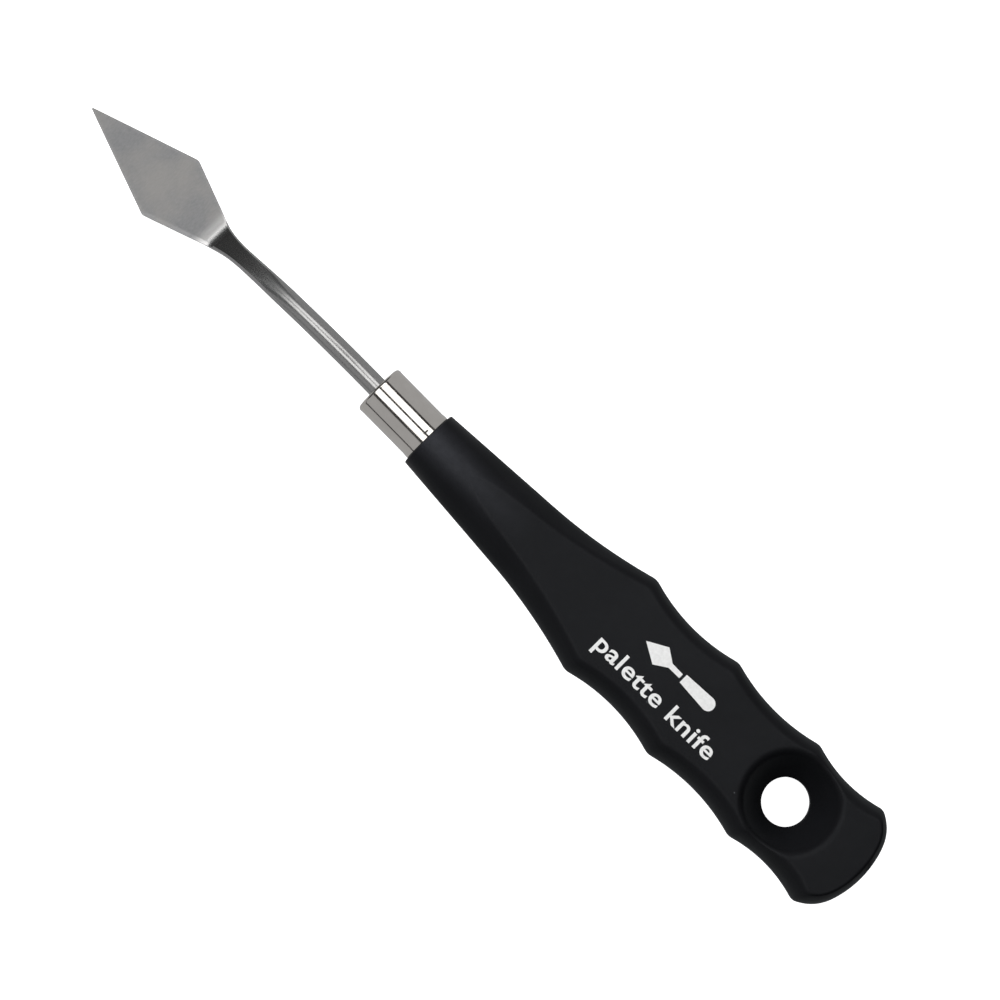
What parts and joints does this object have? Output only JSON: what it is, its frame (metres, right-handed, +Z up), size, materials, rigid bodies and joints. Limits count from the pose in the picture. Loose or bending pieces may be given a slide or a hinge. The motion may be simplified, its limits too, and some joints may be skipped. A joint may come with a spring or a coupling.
{
  "type": "palette knife",
  "caption": "Cranked painting knife: a pointed diamond steel blade on a bent round neck, a metal ferrule, and a soft black scalloped handle with a dished hang hole.",
  "frame": {"origin": "middle of the knife's footprint, on the surface that it lies on", "axes": "+X along the knife from the blade's tip to the butt, +Y across it, +Z up out of the handle's front face; the knife lies on its blade's heel and its butt, so its handle is pitched about 2.08 degrees"},
  "size_m": [0.2102, 0.0244, 0.0179],
  "materials": {
    "satin_steel": "satin ground stainless steel",
    "polished_nickel": "polished nickel plate",
    "seal_resin": "cast resin",
    "core_plastic": "moulded, unseen inside the grip",
    "soft_touch_black": "fine matte soft touch with a faint sheen",
    "white_print": "flat white pad print"
  },
  "bodies": {
    "root": {"blade": "satin_steel", "ferrule": "polished_nickel", "ferrule_seal": "seal_resin", "handle_core": "core_plastic", "soft_grip": "soft_touch_black"}
  },
  "joints": []
}
